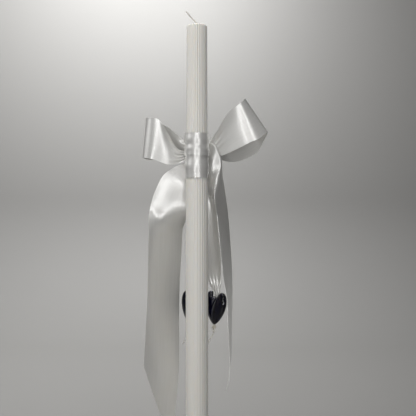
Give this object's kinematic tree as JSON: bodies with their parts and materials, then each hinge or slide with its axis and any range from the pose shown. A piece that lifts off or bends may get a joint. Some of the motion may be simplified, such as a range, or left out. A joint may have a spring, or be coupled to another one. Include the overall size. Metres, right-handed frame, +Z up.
{
  "type": "unity candle",
  "caption": "Tall fluted wedding taper with a white satin ribbon wrapped round it and tied in a bow behind, and dark blue glass hearts hanging from the knot on ribbons with pearl beads.",
  "frame": {"origin": "centre of the candle's foot, on the surface it stands on", "axes": "+Z up the candle to the wick, -Y towards the side where the ribbon only passes round, +X to the right of that side, and the bow behind at +Y"},
  "size_m": [0.1252, 0.0574, 0.5146],
  "materials": {
    "ivory_wax": "satin",
    "waxed_cotton": "matte",
    "white_satin": "satin",
    "cobalt_glass": "gloss",
    "cream_pearl": "gloss",
    "white_cord": "matte"
  },
  "bodies": {
    "candle": {"candle_body": "ivory_wax", "wick": "waxed_cotton", "ribbon_wrap_inner": "white_satin", "ribbon_wrap_outer": "white_satin", "bow_knot": "white_satin", "bow_loop_left": "white_satin", "bow_loop_right": "white_satin"},
    "tail_left": {"bow_tail_left": "white_satin"},
    "tail_right": {"bow_tail_right": "white_satin"},
    "hanger_left": {"charm_ribbon_left": "white_satin"},
    "hanger_right": {"charm_ribbon_right": "white_satin"},
    "charm_left": {"heart_charm_left": "cobalt_glass", "pearl_bead_left": "cream_pearl", "cord_knot_left": "white_cord", "charm_cord_left": "white_cord"},
    "charm_right": {"heart_charm_right": "cobalt_glass", "pearl_bead_right": "cream_pearl", "cord_knot_right": "white_cord", "charm_cord_right": "white_cord"}
  },
  "joints": [
    {"name": "tail_left_swing", "type": "hinge", "parent": "candle", "child": "tail_left", "pos_m": [-0.001, 0.0184, 0.3669], "axis": [0, 1, 0], "range_deg": [0, 20]},
    {"name": "tail_right_swing", "type": "hinge", "parent": "candle", "child": "tail_right", "pos_m": [0.011, 0.0184, 0.383], "axis": [0, -1, 0], "range_deg": [0, 15]},
    {"name": "hanger_left_swing", "type": "hinge", "parent": "candle", "child": "hanger_left", "pos_m": [-0.0016, 0.02676, 0.3677], "axis": [1, 0, 0], "range_deg": [0, 45]},
    {"name": "hanger_right_swing", "type": "hinge", "parent": "candle", "child": "hanger_right", "pos_m": [0.0075, 0.02256, 0.3677], "axis": [1, 0, 0], "range_deg": [0, 45]},
    {"name": "heart_left_twist", "type": "hinge", "parent": "hanger_left", "child": "charm_left", "pos_m": [-0.0054, 0.02856, 0.2311], "axis": [0.0872, 0, 0.9962], "range_deg": [-15, 15]},
    {"name": "heart_right_twist", "type": "hinge", "parent": "hanger_right", "child": "charm_right", "pos_m": [0.0194, 0.02416, 0.2311], "axis": [0.0872, 0, 0.9962], "range_deg": [-15, 10]}
  ]
}
